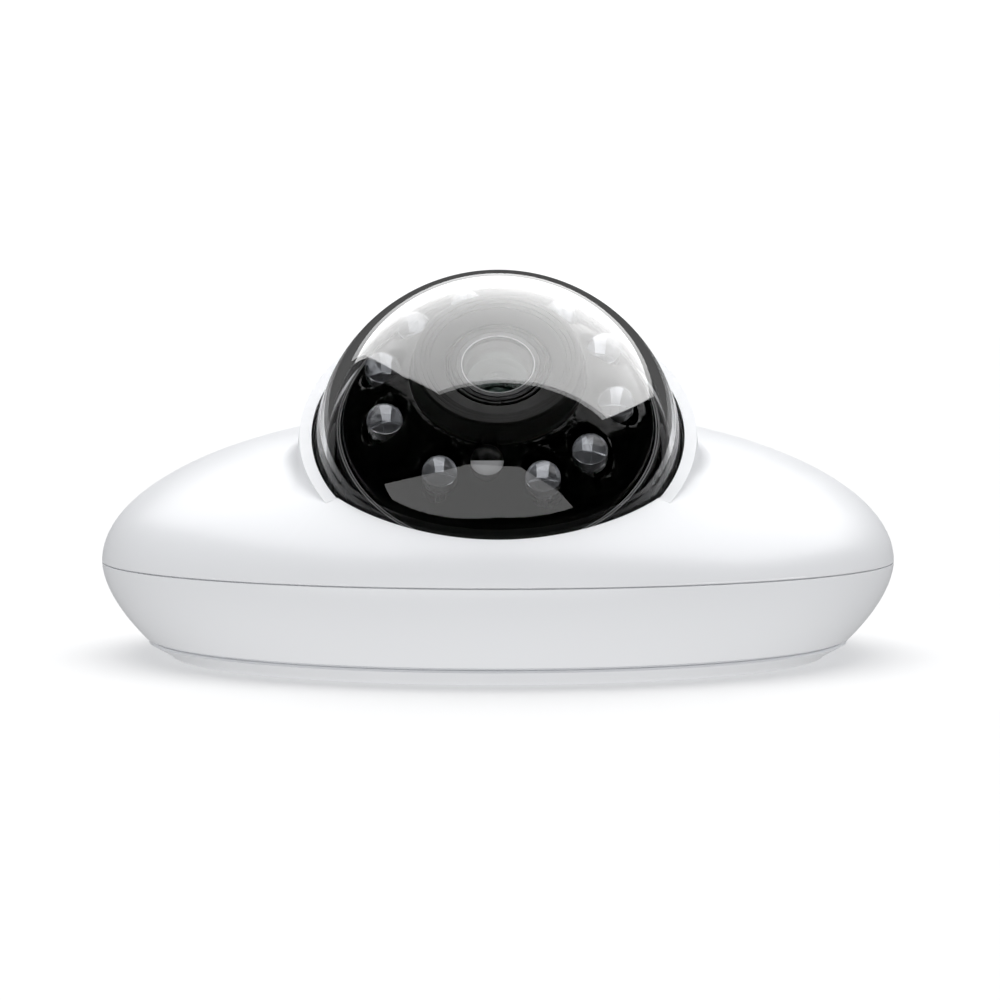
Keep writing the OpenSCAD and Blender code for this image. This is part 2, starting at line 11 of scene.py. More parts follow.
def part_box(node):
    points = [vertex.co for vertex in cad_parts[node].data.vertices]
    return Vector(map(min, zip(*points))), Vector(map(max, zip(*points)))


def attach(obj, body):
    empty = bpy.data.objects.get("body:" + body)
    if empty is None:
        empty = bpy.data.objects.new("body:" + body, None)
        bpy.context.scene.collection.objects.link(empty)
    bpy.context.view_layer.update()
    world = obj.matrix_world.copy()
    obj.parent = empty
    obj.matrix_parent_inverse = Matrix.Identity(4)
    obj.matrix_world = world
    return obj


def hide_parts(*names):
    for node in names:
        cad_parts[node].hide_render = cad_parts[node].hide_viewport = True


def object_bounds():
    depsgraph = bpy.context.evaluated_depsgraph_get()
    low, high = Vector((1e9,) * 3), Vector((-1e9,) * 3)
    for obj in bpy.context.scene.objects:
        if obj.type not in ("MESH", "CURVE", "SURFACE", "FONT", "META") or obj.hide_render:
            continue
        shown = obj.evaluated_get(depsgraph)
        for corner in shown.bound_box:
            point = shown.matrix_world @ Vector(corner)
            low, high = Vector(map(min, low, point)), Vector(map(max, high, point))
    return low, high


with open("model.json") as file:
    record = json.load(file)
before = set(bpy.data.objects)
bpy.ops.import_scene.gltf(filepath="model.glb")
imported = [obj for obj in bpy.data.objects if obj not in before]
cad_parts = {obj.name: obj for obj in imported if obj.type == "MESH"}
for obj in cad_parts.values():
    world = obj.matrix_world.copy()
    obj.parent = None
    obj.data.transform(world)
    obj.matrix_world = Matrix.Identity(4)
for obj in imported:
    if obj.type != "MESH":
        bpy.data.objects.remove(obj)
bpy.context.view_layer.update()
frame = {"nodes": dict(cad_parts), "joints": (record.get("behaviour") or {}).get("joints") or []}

MM = 0.001
rng = np.random.default_rng(7)

# ---------------------------------------------------------------- sizes, from the frame

low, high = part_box("dome_bubble")
DOME_R = high.x
DOME_C = np.array([0.0, low.y + DOME_R, high.z - DOME_R])
DOME_WALL = 1.8 * MM
HOOD_GAP = 0.5 * MM
HOOD_WALL = 1.7 * MM
HOLE_R = DOME_R + HOOD_GAP
HOOD_R = HOLE_R + HOOD_WALL
HOOD_TILT = math.radians(50.5)
HOOD_FILLET = 4.5 * MM
HOOD_REACH = 4.4 * MM
RIM_BACK = 3.0 * MM
COLLAR_BACK = 2.7 * MM

BODY_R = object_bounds()[1].y
SEAM_GAP = 0.35 * MM
SEAM_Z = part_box("upper_shell")[0].z - SEAM_GAP / 2
CROWN_H = 23.2 * MM
WALL = 2.2 * MM
SHELL_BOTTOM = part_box("lower_shell")[0].z
FLOOR_TOP = SHELL_BOTTOM + 2 * MM
TAPER = 6.6 * MM
TAPER_CURVE = 1.75

face_joint = next(j for j in frame["joints"] if j["name"] == "face_turn")
LENS_AXIS = Vector(face_joint["axis"]).normalized()
FACE_ROLL = math.radians(-6)
RING_R = 22.5 * MM
RING_BORE = 21.78 * MM
EYE_R = 21.7 * MM


def axis_matrix(axis, roll=0.0):
    """Local +Z along axis, local +X across the body, at the dome's centre."""
    z = Vector(axis).normalized()
    x = Vector((1, 0, 0))
    y = z.cross(x)
    m = Matrix((x, y, z)).transposed().to_4x4()
    return Matrix.Translation(Vector(DOME_C)) @ m @ Matrix.Rotation(roll, 4, "Z")


LENS_M = axis_matrix(LENS_AXIS, FACE_ROLL)
HOOD_M = axis_matrix((0, -math.cos(HOOD_TILT), math.sin(HOOD_TILT)))

# ---------------------------------------------------------------- mesh helpers


def mesh_object(name, verts, faces, matrix=None, smooth=True):
    data = bpy.data.meshes.new(name)
    data.from_pydata([tuple(v) for v in verts], [], [tuple(f) for f in faces])
    if matrix is not None:
        data.transform(matrix)
    bm = bmesh.new()
    bm.from_mesh(data)
    bmesh.ops.remove_doubles(bm, verts=bm.verts, dist=2e-6)
    bmesh.ops.dissolve_degenerate(bm, edges=bm.edges, dist=1e-7)
    bmesh.ops.recalc_face_normals(bm, faces=bm.faces)
    bm.to_mesh(data)
    bm.free()
    for p in data.polygons:
        p.use_smooth = smooth
    obj = bpy.data.objects.new(name, data)
    bpy.context.scene.collection.objects.link(obj)
    return obj


def rounded(points, arc_steps=5):
    """A 2-D outline with its corners rounded. Each point is (a, b) or (a, b, radius)."""
    out = []
    n = len(points)
    for i, p in enumerate(points):
        here = np.array(p[:2], float)
        radius = p[2] if len(p) > 2 else 0.0
        before = np.array(points[(i - 1) % n][:2], float) - here
        after = np.array(points[(i + 1) % n][:2], float) - here
        lb, la = np.linalg.norm(before), np.linalg.norm(after)
        if radius <= 0 or lb < 1e-9 or la < 1e-9:
            out.append(here)
            continue
        ub, ua = before / lb, after / la
        angle = math.acos(max(-1.0, min(1.0, float(ub @ ua))))
        if angle > math.pi - 1e-3:
            out.append(here)
            continue
        reach = min(radius / math.tan(angle / 2), 0.49 * lb, 0.49 * la)
        for t in np.linspace(0, 1, arc_steps + 1):
            out.append(here + ub * reach * (1 - t) ** 2 + ua * reach * t ** 2)
    return out


def lathe(name, outline, matrix=None, steps=128, closed=True):
    """Turns an outline of (radius, height) round local Z."""
    pts = [np.array(p, float) for p in outline]
    k = len(pts)
    verts, faces = [], []
    for i in range(steps):
        a = 2 * math.pi * i / steps
        for r, z in pts:
            verts.append((r * math.cos(a), r * math.sin(a), z))
    for i in range(steps):
        j = (i + 1) % steps
        for m in range(k if closed else k - 1):
            n = (m + 1) % k
            faces.append((i * k + m, j * k + m, j * k + n, i * k + n))
    return mesh_object(name, verts, faces, matrix)


def arc(centre, radius, start, end, steps):
    """Points on a circle arc in (a, b), angles in radians."""
    return [(centre[0] + radius * math.cos(t), centre[1] + radius * math.sin(t))
            for t in np.linspace(start, end, steps + 1)]


def at(angle, radius, z=0.0):
    return Matrix.Translation((radius * math.cos(angle), radius * math.sin(angle), z))


def prism(name, radius, z0, z1, matrix=None, steps=48):
    return lathe(name, [(0, z0), (radius, z0), (radius, z1), (0, z1)], matrix, steps, closed=False)


def join(name, objects):
    data = bpy.data.meshes.new(name)
    bm = bmesh.new()
    for o in objects:
        bm.from_mesh(o.data)
        bpy.data.objects.remove(o)
    bm.to_mesh(data)
    bm.free()
    obj = bpy.data.objects.new(name, data)
    bpy.context.scene.collection.objects.link(obj)
    return obj


def bake_modifiers(obj):
    """Replaces the object's mesh by the result of its modifiers."""
    graph = bpy.context.evaluated_depsgraph_get()
    data = bpy.data.meshes.new_from_object(obj.evaluated_get(graph))
    obj.modifiers.clear()
    obj.data = data
    return obj


def cut(obj, tool):
    """Cuts one closed mesh out of another."""
    m = obj.modifiers.new("cut", "BOOLEAN")
    m.operation = "DIFFERENCE"
    m.solver = "EXACT"
    m.object = tool
    bpy.context.view_layer.update()
    bake_modifiers(obj)
    bpy.data.objects.remove(tool)
    return obj


def soften(obj, width, angle=40, segments=3):
    """Rounds the sharp edges and keeps flats flat in shading."""
    b = obj.modifiers.new("edges", "BEVEL")
    b.width = width
    b.segments = segments
    b.limit_method = "ANGLE"
    b.angle_limit = math.radians(angle)
    b.use_clamp_overlap = True
    w = obj.modifiers.new("normals", "WEIGHTED_NORMAL")
    w.keep_sharp = True
    for p in obj.data.polygons:
        p.use_smooth = True
    return bake_modifiers(obj)


def paint(obj, material):
    obj.data.materials.clear()
    obj.data.materials.append(material)
    return obj


# ---------------------------------------------------------------- materials


def new_material(name, colour, roughness, **sockets):
    m = bpy.data.materials.new(name)
    m.use_nodes = True
    bsdf = m.node_tree.nodes["Principled BSDF"]
    bsdf.inputs["Base Color"].default_value = (*colour, 1)
    bsdf.inputs["Roughness"].default_value = roughness
    for key, value in sockets.items():
        bsdf.inputs[key.replace("_", " ")].default_value = value
    return m


def add_noise(m, scale, detail=3.0):
    """Noise over the object's own coordinates, in cycles a metre."""
    nt = m.node_tree
    coord = nt.nodes.new("ShaderNodeTexCoord")
    noise = nt.nodes.new("ShaderNodeTexNoise")
    noise.inputs["Scale"].default_value = scale
    noise.inputs["Detail"].default_value = detail
    nt.links.new(coord.outputs["Object"], noise.inputs["Vector"])
    return noise


def vary_roughness(m, scale, lo, hi):
    nt = m.node_tree
    noise = add_noise(m, scale)
    r = nt.nodes.new("ShaderNodeMapRange")
    r.inputs["From Min"].default_value = 0.35
    r.inputs["From Max"].default_value = 0.65
    r.inputs["To Min"].default_value = lo
    r.inputs["To Max"].default_value = hi
    nt.links.new(noise.outputs["Fac"], r.inputs["Value"])
    nt.links.new(r.outputs["Result"], nt.nodes["Principled BSDF"].inputs["Roughness"])
    return m


def vary_colour(m, scale, dark, light):
    nt = m.node_tree
    noise = add_noise(m, scale)
    ramp = nt.nodes.new("ShaderNodeValToRGB")
    ramp.color_ramp.elements[0].position = 0.25
    ramp.color_ramp.elements[0].color = (*dark, 1)
    ramp.color_ramp.elements[1].position = 0.75
    ramp.color_ramp.elements[1].color = (*light, 1)
    nt.links.new(noise.outputs["Fac"], ramp.inputs["Fac"])
    nt.links.new(ramp.outputs["Color"], nt.nodes["Principled BSDF"].inputs["Base Color"])
    return m


def add_bump(m, scale, height, strength=0.5):
    nt = m.node_tree
    noise = add_noise(m, scale)
    bump = nt.nodes.new("ShaderNodeBump")
    bump.inputs["Strength"].default_value = strength
    bump.inputs["Distance"].default_value = height
    nt.links.new(noise.outputs["Fac"], bump.inputs["Height"])
    nt.links.new(bump.outputs["Normal"], nt.nodes["Principled BSDF"].inputs["Normal"])
    return m


def moulded(name, colour, roughness, grain=1800, depth=0.01 * MM, shade=0.03, gloss=0.12, **sockets):
    """A moulded plastic: slight tone and gloss changes and a fine surface."""
    m = new_material(name, colour, roughness, **sockets)
    dark = tuple(c * (1 - shade) for c in colour)
    vary_colour(m, 60, dark, colour)
    vary_roughness(m, 140, roughness * (1 - gloss), roughness * (1 + gloss))
    add_bump(m, grain, depth, 0.35)
    return m


def white_gloss():
    return moulded("white_gloss", (0.83, 0.84, 0.86), 0.34, grain=2600, depth=0.002 * MM,
                   shade=0.006, gloss=0.04, IOR=1.5)


def white_satin():
    return moulded("white_satin", (0.80, 0.81, 0.83), 0.4, grain=2600, depth=0.003 * MM,
                   shade=0.008, gloss=0.05)


def clear_dome():
    m = new_material("clear_dome", (1, 1, 1), 0.0, IOR=1.53)
    m.node_tree.nodes["Principled BSDF"].inputs["Transmission Weight"].default_value = 1.0
    return m


def face_black():
    return moulded("face_black", (0.0012, 0.0012, 0.0014), 0.07, grain=2400, depth=0.0006 * MM,
                   shade=0.3, Specular_IOR_Level=0.2)


def satin_black():
    return moulded("satin_black", (0.008, 0.008, 0.009), 0.36, grain=2000, depth=0.01 * MM, shade=0.3)


def rubber_black():
    return moulded("rubber_black", (0.008, 0.008, 0.008), 0.46, grain=1500, depth=0.002 * MM,
                   shade=0.25, Specular_IOR_Level=0.3)


def grey_plastic():
    return moulded("grey_plastic", (0.085, 0.088, 0.092), 0.45, shade=0.15)


def anodised_black():
    m = moulded("anodised_black", (0.012, 0.012, 0.013), 0.3, grain=3000, depth=0.004 * MM,
                shade=0.2)
    m.node_tree.nodes["Principled BSDF"].inputs["Metallic"].default_value = 0.6
    return m


def metal(name, colour, roughness, grain=1600):
    m = new_material(name, colour, roughness, Metallic=1.0)
    vary_roughness(m, 400, roughness * 0.7, roughness * 1.4)
    add_bump(m, grain, 0.004 * MM, 0.4)
    return m


def board_green():
    return moulded("board_green", (0.012, 0.10, 0.045), 0.3, shade=0.35, Coat_Weight=0.3)


def tinted_glass(name, colour, ior=1.5):
    m = new_material(name, colour, 0.0, IOR=ior)
    m.node_tree.nodes["Principled BSDF"].inputs["Transmission Weight"].default_value = 1.0
    return m


WHITE = white_gloss()
PLATE = white_satin()
CLEAR = clear_dome()
FACE = face_black()
BLACK = satin_black()
RUBBER = rubber_black()
GREY = grey_plastic()
ANODISED = anodised_black()
STEEL = metal("zinc_steel", (0.62, 0.63, 0.65), 0.3)
BRIGHT = metal("bright_metal", (0.80, 0.81, 0.83), 0.16)
GOLD = metal("plated_gold", (0.83, 0.62, 0.26), 0.22)
COPPER = metal("copper_winding", (0.75, 0.33, 0.15), 0.35, grain=4000)
ALUMINIUM = metal("extruded_aluminium", (0.72, 0.73, 0.75), 0.34)
BOARD = board_green()
CHIP = moulded("moulded_epoxy", (0.018, 0.018, 0.02), 0.55, shade=0.25)
IVORY = moulded("connector_plastic", (0.62, 0.58, 0.47), 0.45, shade=0.06)
SLEEVE = moulded("capacitor_sleeve", (0.03, 0.05, 0.14), 0.3, shade=0.2)
SILICON = moulded("sensor_silicon", (0.03, 0.035, 0.06), 0.12, shade=0.3, Coat_Weight=0.6)
LED_GLASS = tinted_glass("led_epoxy", (0.97, 0.98, 1.0), 1.52)
FROSTED = moulded("frosted_window", (0.7, 0.71, 0.72), 0.35, grain=900, depth=0.03 * MM, shade=0.3)
SILVERED = moulded("silvered_bowl", (0.85, 0.86, 0.88), 0.16, grain=900, depth=0.08 * MM,
                   shade=0.4, Metallic=0.72)
LENS_GLASS = tinted_glass("coated_glass", (0.62, 0.70, 0.67))
INNER_GLASS = moulded("inner_coating", (0.012, 0.05, 0.036), 0.08, shade=0.3, Coat_Weight=0.5)
RETAINER = moulded("blackened_ring", (0.03, 0.031, 0.033), 0.3, shade=0.2)
# Light grey for the thin bright ring round the lens glass: a painted highlight.
RING_HIGHLIGHT_GREY = moulded("painted_highlight_grey", (0.75, 0.76, 0.77), 0.3, shade=0.1)
# Light grey for thin rings along the tilt ring's front edges: painted highlights.
EDGE_HIGHLIGHT_GREY = moulded("painted_highlight_edge", (0.45, 0.455, 0.46), 0.35, shade=0.15)
FILTER_GLASS = tinted_glass("filter_glass", (0.85, 0.55, 0.62))
SLIP = moulded("low_friction_plastic", (0.72, 0.71, 0.66), 0.4)

# ---------------------------------------------------------------- the white shells


def crown_z(r):
    return SEAM_Z + CROWN_H * math.sqrt(max(0.0, 1 - (r / BODY_R) ** 2))


def crown_inner_z(r):
    return SEAM_Z + (CROWN_H - WALL) * math.sqrt(max(0.0, 1 - (r / (BODY_R - WALL)) ** 2))


def bisect(f, a, b, steps=48):
    """Root of f between a and b, where f changes sign."""
    fa = f(a)
    for _ in range(steps):
        m = (a + b) / 2
        fm = f(m)
        if (fm > 0) == (fa > 0):
            a, fa = m, fm
        else:
            b = m
    return (a + b) / 2


def lip_angle(phi, radius, reach):
    """Where the plane at this reach along the hood's axis cuts a sphere round the dome's centre."""
    a = math.cos(phi) * math.cos(HOOD_TILT)
    b = math.sin(HOOD_TILT)
    return math.atan2(b, a) - math.acos(max(-1, min(1, reach / radius / math.hypot(a, b))))


def shell_section(phi):
    """The upper shell's closed outline in the half plane at this azimuth round the dome's axis.
    Points are (distance from the dome's axis, height), as many of them at every azimuth."""
    lip_points, fillet_points, crown_points, inside_points, collar_points = 15, 12, 40, 24, 4
    e = np.array([math.sin(phi), -math.cos(phi)])
    c = DOME_C[:2]
    zc = DOME_C[2]

    def body_radius(rho):
        return float(np.linalg.norm(c + rho * e))

    def edge(limit):
        along = float(c @ e)
        return -along + math.sqrt(limit ** 2 - float(c @ c) + along ** 2)

    def outer(rho):
        return crown_z(body_radius(rho))

    def inner(rho):
        return crown_inner_z(body_radius(rho))

    def meets(surface, radius, top):
        return bisect(lambda q: math.hypot(q, surface(q) - zc) - radius, 0.3 * radius, top)

    rho_out, rho_in = edge(BODY_R), edge(BODY_R - WALL)
    rho_hood = meets(outer, HOOD_R, rho_out)
    beta_hood = math.atan2(outer(rho_hood) - zc, rho_hood)
    beta_lip = lip_angle(phi, HOOD_R, HOOD_REACH)
    section = []
    if beta_lip > beta_hood + 1e-4:
        radius = HOOD_FILLET

        def ball(rf):
            """Centre of the fillet's ball and its foot on the crown."""
            def gap(rho):
                d = 1e-5
                slope = (outer(rho + d) - outer(rho - d)) / (2 * d)
                n = np.array([-slope, 1.0]) / math.hypot(slope, 1)
                return np.array([rho, outer(rho) - zc]) + n * rf

            foot = bisect(lambda q: float(np.linalg.norm(gap(q))) - (HOOD_R + rf), rho_hood * 0.9,
                          min(rho_hood + 4 * rf + 1 * MM, rho_out * 0.995))
            return gap(foot), foot

        def top_angle(rf):
            g, _ = ball(rf)
            return math.atan2(g[1], g[0])

        if top_angle(radius) > beta_lip:
            radius = bisect(lambda rf: top_angle(rf) - beta_lip, 1e-6, radius)
        centre, foot = ball(radius)
        touch = math.atan2(centre[1], centre[0])
        section += [(HOOD_R * math.cos(b), zc + HOOD_R * math.sin(b))
                    for b in np.linspace(beta_lip, touch, lip_points)]
        start = math.atan2(-centre[1], -centre[0])
        foot_point = np.array([foot, outer(foot) - zc])
        to_foot = foot_point - centre
        end = math.atan2(to_foot[1], to_foot[0])
        while start > end:
            start -= 2 * math.pi
        while end - start > math.pi:
            start += 2 * math.pi
        section += [(x, z + zc) for x, z in arc(centre, radius, start, end, fillet_points)][1:]
        rho_start = foot
        top_in = lip_angle(phi, HOLE_R, HOOD_REACH)
    else:
        rho_start = meets(outer, HOLE_R, rho_out)
        start = (rho_start, outer(rho_start))
        section += [start] * (lip_points + fillet_points)
        top_in = math.atan2(start[1] - zc, rho_start)
    # Along the crown to the seam, by equal steps of the ellipse's own angle near the edge
    for t in np.linspace(0, 1, crown_points + 1)[1:]:
        s = math.sin(t * math.pi / 2)
        rho = rho_start + (rho_out - rho_start) * s
        section.append((rho, outer(rho) if t < 1 else SEAM_Z))
    section.append((rho_out, SEAM_Z + SEAM_GAP / 2))
    section.append((rho_in, SEAM_Z + SEAM_GAP / 2))
    # Back along the inside
    rho_wall = meets(inner, HOOD_R, rho_in)
    beta_wall = math.atan2(inner(rho_wall) - zc, rho_wall)
    low_angle = math.asin(max(-1.0, (SEAM_Z + SEAM_GAP / 2 - zc) / HOLE_R))
    beta_collar = max(lip_angle(phi, HOOD_R, -COLLAR_BACK), low_angle)
    for t in np.linspace(0, 1, inside_points + 1)[1:]:
        rho = rho_in + (rho_wall - rho_in) * (1 - math.cos(t * math.pi / 2))
        section.append((rho, inner(rho)))
    if beta_collar < beta_wall:
        for b in np.linspace(beta_wall, beta_collar, collar_points + 1)[1:]:
            section.append((HOOD_R * math.cos(b), zc + HOOD_R * math.sin(b)))
        low_in = max(lip_angle(phi, HOLE_R, -COLLAR_BACK), low_angle)
    else:
        rho_low = meets(inner, HOLE_R, rho_in)
        low_in = math.atan2(inner(rho_low) - zc, rho_low)
        section += [(rho_low, inner(rho_low))] * collar_points
    for b in np.linspace(low_in, top_in, 19):
        section.append((HOLE_R * math.cos(b), zc + HOLE_R * math.sin(b)))
    return section


def build_upper_shell():
    steps = 256
    verts, faces = [], []
    for i in range(steps):
        phi = 2 * math.pi * i / steps
        section = shell_section(phi)
        k = len(section)
        for rho, z in section:
            verts.append((DOME_C[0] + rho * math.sin(phi), DOME_C[1] - rho * math.cos(phi), z))
    for i in range(steps):
        j = (i + 1) % steps
        for m in range(k):
            n = (m + 1) % k
            faces.append((i * k + m, i * k + n, j * k + n, j * k + m))
    shell = mesh_object("upper_shell_skin", verts, faces)
    soften(shell, 0.22 * MM, angle=45)
    paint(shell, WHITE)
    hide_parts("upper_shell")
    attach(shell, "housing")


def side_r(z):
    """Radius of the lower shell's side, which draws in towards its foot."""
    return BODY_R - TAPER * ((SEAM_Z - z) / (SEAM_Z - SHELL_BOTTOM)) ** TAPER_CURVE


def build_lower_shell():
    seam = SEAM_Z - SEAM_GAP / 2
    side = [(side_r(z), z) for z in np.linspace(SHELL_BOTTOM, SEAM_Z, 28)]
    outer = side[1:-1] + [(BODY_R, seam, 0.25 * MM)]
    tongue = BODY_R - WALL
    outline = rounded(
        [(0, SHELL_BOTTOM), (side[0][0], SHELL_BOTTOM, 0.3 * MM)] + outer
        + [(tongue, seam), (tongue, SEAM_Z + 1.6 * MM, 0.15 * MM),
           (tongue - 0.9 * MM, SEAM_Z + 1.6 * MM, 0.15 * MM), (tongue - 0.9 * MM, SEAM_Z - 2 * MM)]
        + [(side_r(z) - WALL - 0.2 * MM, z) for z in np.linspace(SEAM_Z - 3 * MM, FLOOR_TOP, 12)]
        + [(0, FLOOR_TOP)])
    skin = lathe("lower_shell_skin", outline, steps=256)
    for tool in lower_shell_openings():
        cut(skin, tool)
    paint(skin, WHITE)
    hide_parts("lower_shell")
    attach(skin, "housing")


SOCKET_GAP = 0.4 * MM
RESET_HOLE_R = 1.55 * MM
COUNTERBORE_R = 3 * MM
SHELL_SCREWS_AT = 47.5 * MM
SHELL_SCREW_TURNS = (34, 146, 225, 315)
HOOK_TURNS = (90, 210, 330)
HOOK_SLOT_START = -23.5
HOOK_SLOT_INNER = 37.65 * MM
# Each hook's slot has a wide entry and a longer, narrower track: (end angle, outer radius)
HOOK_SLOT_PARTS = ((5.5, 40.55 * MM), (-12.5, 42.35 * MM))


def ring_sector(name, inner, outer, start, end, z0, z1, steps=12):
    """A block between two radii and two angles round the body's axis."""
    there, back = np.linspace(start, end, steps + 1), np.linspace(end, start, steps + 1)
    ring = [(r * math.cos(a), r * math.sin(a))
            for r, turns in ((inner, there), (outer, back)) for a in turns]
    n = len(ring)
    verts = [(x, y, z) for z in (z0, z1) for x, y in ring]
    faces = [tuple(range(n))[::-1], tuple(range(n, 2 * n))]
    faces += [(i, (i + 1) % n, (i + 1) % n + n, i + n) for i in range(n)]
    return mesh_object(name, verts, faces, smooth=False)


def lower_shell_openings():
    """The socket's window, the reset hole, the counterbores and the slots for the plate's hooks."""
    low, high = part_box("ethernet_jack")
    past = 1 * MM
    x0, x1 = low.x - SOCKET_GAP, high.x + SOCKET_GAP
    y0, y1 = low.y - SOCKET_GAP, high.y + SOCKET_GAP
    z0, z1 = SHELL_BOTTOM - past, FLOOR_TOP + past
    verts = [(x, y, z) for z in (z0, z1) for x, y in ((x0, y0), (x1, y0), (x1, y1), (x0, y1))]
    faces = [(3, 2, 1, 0), (4, 5, 6, 7)] + [(i, (i + 1) % 4, (i + 1) % 4 + 4, i + 4) for i in range(4)]
    tools = [mesh_object("window", verts, faces, smooth=False)]
    low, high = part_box("reset_plunger")
    centre = Matrix.Translation(((low.x + high.x) / 2, (low.y + high.y) / 2, 0))
    tools.append(prism("reset_hole", RESET_HOLE_R, z0, z1, centre))
    for turn in SHELL_SCREW_TURNS:
        place = at(math.radians(turn), SHELL_SCREWS_AT)
        tools.append(prism("counterbore", COUNTERBORE_R, z0, z1 + 0.4 * MM, place))
    for turn in HOOK_TURNS:
        for until, outer in HOOK_SLOT_PARTS:
            start, end = math.radians(turn + HOOK_SLOT_START), math.radians(turn + until)
            tools.append(ring_sector("hook_slot", HOOK_SLOT_INNER, outer, start, end, z0, z1))
    return tools


# ---------------------------------------------------------------- the clear dome


def build_dome():
    inner = DOME_R - DOME_WALL
    back_out = math.asin(-RIM_BACK / DOME_R)
    back_in = math.asin(-RIM_BACK / inner)
    outline = (arc((0, 0), DOME_R, math.pi / 2, back_out, 72)
               + arc((0, 0), inner, back_in, math.pi / 2, 72))
    dome = lathe("dome_shell", outline, HOOD_M, steps=192, closed=False)
    paint(dome, CLEAR)
    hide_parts("dome_bubble")
    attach(dome, "housing")


def build_gap_faces():
    """The white faces just inside the seam and inside the gap above the plate."""
    thick = 0.4 * MM
    for name, radius, low, high in (
            ("seam_tongue_face", BODY_R - 0.45 * MM, SEAM_Z - 0.3 * MM, SEAM_Z + 0.3 * MM),
            ("plate_gap_face", side_r(SHELL_BOTTOM) - 0.9 * MM, SHELL_BOTTOM - 0.38 * MM,
             SHELL_BOTTOM + 0.1 * MM)):
        face = [(radius - thick, low), (radius, low), (radius, high), (radius - thick, high)]
        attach(paint(lathe(name, face, steps=256), WHITE), "housing")


def build_gasket_band():
    """Black rubber between the dome and the hood, up to just below the lip."""
    inner, outer = DOME_R + 0.04 * MM, DOME_R + 0.3 * MM
    low, top = -RIM_BACK, HOOD_REACH - 1.2 * MM
    outline = ([(math.sqrt(inner ** 2 - h ** 2), h) for h in np.linspace(low, top, 9)]
               + [(math.sqrt(outer ** 2 - h ** 2), h) for h in np.linspace(top, low, 9)])
    band = lathe("bubble_gasket_band", outline, HOOD_M, steps=192)
    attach(paint(band, RUBBER), "housing")


build_upper_shell()
build_lower_shell()
build_gap_faces()
build_dome()
build_gasket_band()

# ---------------------------------------------------------------- the eyeball

FACE_RIM_Z = 8.3 * MM
FACE_HUB_Z = 17.8 * MM
SHIELD_R = 12.1 * MM
face_c = ((SHIELD_R ** 2 + FACE_HUB_Z ** 2 - EYE_R ** 2 - FACE_RIM_Z ** 2)
          / (2 * (FACE_HUB_Z - FACE_RIM_Z)))
face_r = math.hypot(EYE_R, FACE_RIM_Z - face_c)
SPLIT_Z = -1 * MM
LED_RING_R = 16.2 * MM
LED_R = 2.4 * MM
LED_TIP = 16.7 * MM
LED_LEN = 8.8 * MM
LED_BOARD_TOP = 5.4 * MM
LED_RECESS_R = 3.2 * MM
LED_FLOOR = 10.6 * MM
LED_ANGLES = [math.radians(270 + a) for a in (-23, -65, -97, -128, -158, 28, 56, 88, 122, 153)]
LED_FLANGE = 0.4 * MM
LED_FLANGE_T = 1 * MM
BORE_GAP = 0.1 * MM
SENSOR_RISE = 2.1 * MM
SENSOR_AT = 13.9 * MM
SENSOR_TURN = math.radians(270)
SENSOR_R = 2.2 * MM
SENSOR_WINDOW_LEAN = 0.042
SHIELD_FRONT = 21.2 * MM
LENS_FRONT = 20.1 * MM
LENS_HEAD_R = 7 * MM
GLASS_R = 4.9 * MM


def build_face():
    """A convex cap with a round recess for each emitter, solid behind the recesses' floors."""
    rim = math.asin((FACE_RIM_Z - face_c) / face_r)
    hub = math.asin((FACE_HUB_Z - face_c) / face_r)
    cap = [(face_r * math.cos(t), face_c + face_r * math.sin(t)) for t in np.linspace(rim, hub, 24)]
    bore, wall, inside, back = SHIELD_R - 1.4 * MM, EYE_R - 1.2 * MM, 8.6 * MM, FACE_HUB_Z - 3 * MM
    outline = ([(bore, inside), (wall, inside), (wall, SPLIT_Z), (EYE_R, SPLIT_Z),
                (EYE_R, FACE_RIM_Z - 0.3 * MM)] + cap[1:]
               + [(SHIELD_R + 0.05 * MM, back), (bore, back)])
    face = lathe("eyeball_face", outline, steps=256)
    past = 30 * MM
    tools = [prism("recess", LED_RECESS_R, LED_FLOOR, past, at(a, LED_RING_R), 64)
             for a in LED_ANGLES]
    tools += [prism("bore", LED_R + BORE_GAP, 0, 12 * MM, at(a, LED_RING_R), 64)
              for a in LED_ANGLES]
    tools.append(prism("eye", SENSOR_R + BORE_GAP, 0, past, at(SENSOR_TURN, SENSOR_AT), 64))
    for tool in tools:
        cut(face, tool)
    soften(face, 0.12 * MM, angle=35)
    face.data.transform(LENS_M)
    paint(face, FACE)
    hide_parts("eye_face")
    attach(face, "eyeball")


def led_body(radius, tip):
    """Clear epoxy lamp: flange, barrel and domed head."""
    base = tip - LED_LEN
    flange, flange_top = radius + LED_FLANGE, base + LED_FLANGE_T
    side = rounded([(0, base), (flange, base, 0.1 * MM), (flange, flange_top, 0.1 * MM),
                    (radius, flange_top), (radius, tip - radius)], 3)
    head = arc((0, tip - radius), radius, 0, math.pi / 2, 18)
    return side[:-1] + head


def led_spacer(radius, tip):
    """The collar that lifts a lamp off its board."""
    return rounded([(0.5 * MM, LED_BOARD_TOP), (radius - 0.6 * MM, LED_BOARD_TOP),
                    (radius - 0.6 * MM, tip - LED_LEN), (0.5 * MM, tip - LED_LEN)])


